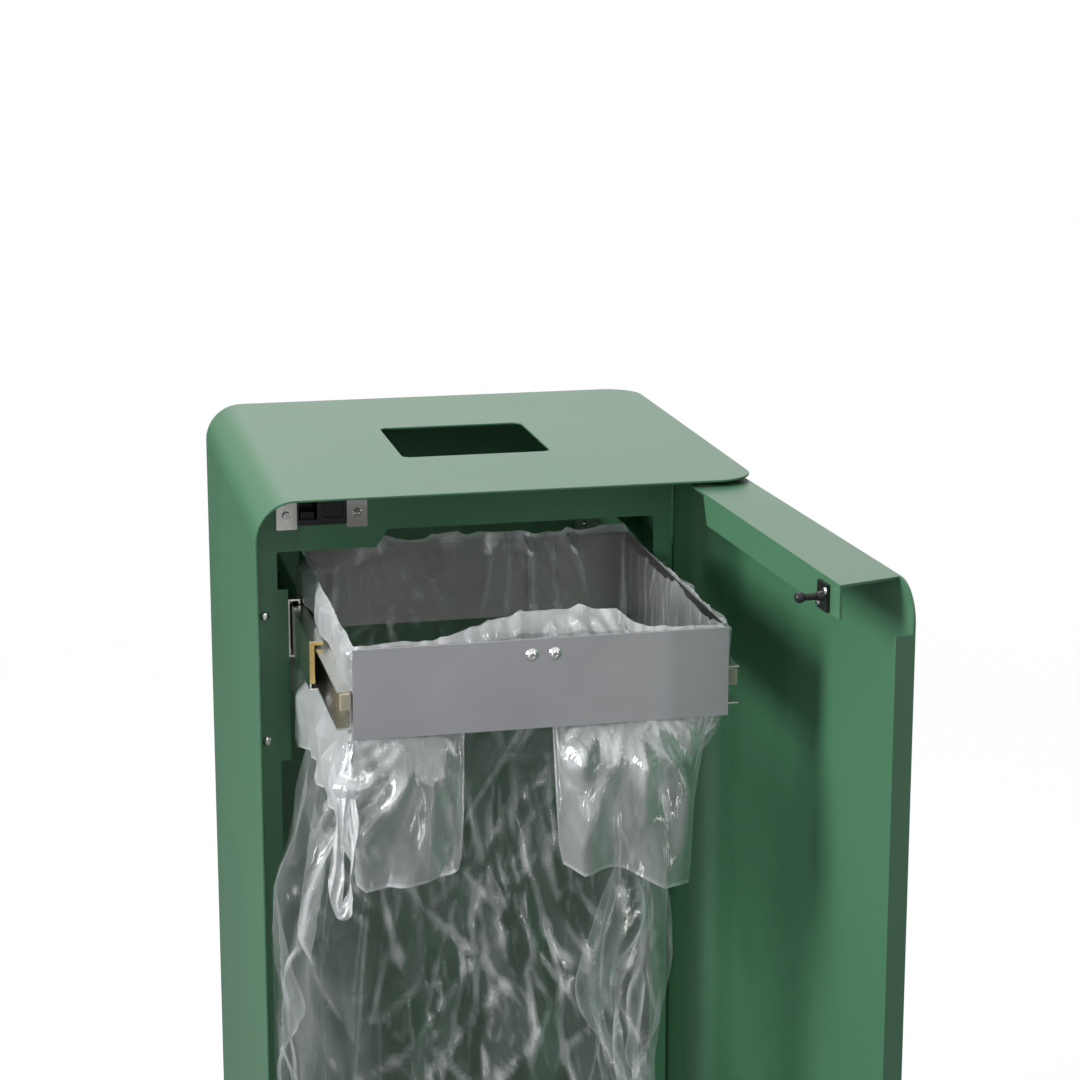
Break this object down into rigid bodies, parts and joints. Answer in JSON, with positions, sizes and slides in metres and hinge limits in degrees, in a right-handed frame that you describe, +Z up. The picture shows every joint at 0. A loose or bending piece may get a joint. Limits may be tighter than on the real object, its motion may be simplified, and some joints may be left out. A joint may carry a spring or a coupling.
{
  "type": "dog waste bin",
  "caption": "Folded sheet-metal waste bin with a rounded top edge and square drop hole, full-height swing door and a bag frame on telescopic slides.",
  "frame": {"origin": "centre of the ground anchor hole pattern, on the underside of the base plate", "axes": "+Z up, -Y out of the door side, +X to the hinge side"},
  "size_m": [0.4634, 0.8107, 1],
  "materials": {
    "powder_coat": "satin green powder coat, fine texture",
    "stainless": "satin stainless sheet",
    "zinc": "bright zinc plated steel",
    "yellow_zinc": "yellow passivated zinc",
    "screw_steel": "polished stainless fastener",
    "black_plastic": "black moulded nylon",
    "ivory_plastic": "ivory moulded plastic",
    "film": "clear thin polyethylene film, creased"
  },
  "bodies": {
    "housing": {"housing_wrap": "powder_coat", "rear_shell": "powder_coat", "base_plate": "powder_coat", "front_frame": "powder_coat", "frame_screws": "screw_steel", "frame_nuts": "zinc", "slide_bracket_left": "powder_coat", "slide_bracket_right": "powder_coat", "slide_outer_left": "zinc", "slide_outer_right": "zinc", "outer_slide_screws": "screw_steel", "catch_bracket": "zinc", "catch_body": "black_plastic", "catch_jaws": "black_plastic", "catch_screws": "screw_steel", "upper_pivot_pin": "screw_steel", "lower_pivot_pin": "screw_steel"},
    "door": {"door_shell": "powder_coat", "ball_stud": "black_plastic", "stud_screws": "screw_steel", "upper_bush": "black_plastic", "lower_bush": "black_plastic"},
    "slide_middles": {"slide_middle_left": "zinc", "slide_middle_right": "zinc", "middle_ball_cages": "zinc", "middle_stop_left": "yellow_zinc", "middle_stop_right": "yellow_zinc"},
    "drawer": {"slide_inner_left": "zinc", "slide_inner_right": "zinc", "inner_ball_cages": "zinc", "release_lever_left": "ivory_plastic", "release_lever_right": "ivory_plastic", "inner_slide_screws": "screw_steel", "bag_frame": "stainless", "frame_front_plate": "stainless", "plate_screws": "screw_steel", "plate_nuts": "zinc", "bin_liner": "film"}
  },
  "joints": [
    {"name": "door_hinge", "type": "hinge", "parent": "housing", "child": "door", "pos_m": [0.183, -0.187, 0.5], "axis": [0, 0, 1], "range_deg": [-92.5, 2]},
    {"name": "middle_slide", "type": "slide", "parent": "housing", "child": "slide_middles", "axis": [0, -1, 0], "range_m": [-0.1482, 0.0034]},
    {"name": "drawer_slide", "type": "slide", "parent": "slide_middles", "child": "drawer", "axis": [0, -1, 0], "range_m": [-0.1482, 0.0034]}
  ],
  "couplings": [
    {"joint": "middle_slide", "follows": "door_hinge", "m_per_rad": 0.09167},
    {"joint": "drawer_slide", "follows": "door_hinge", "m_per_rad": 0.09167}
  ]
}
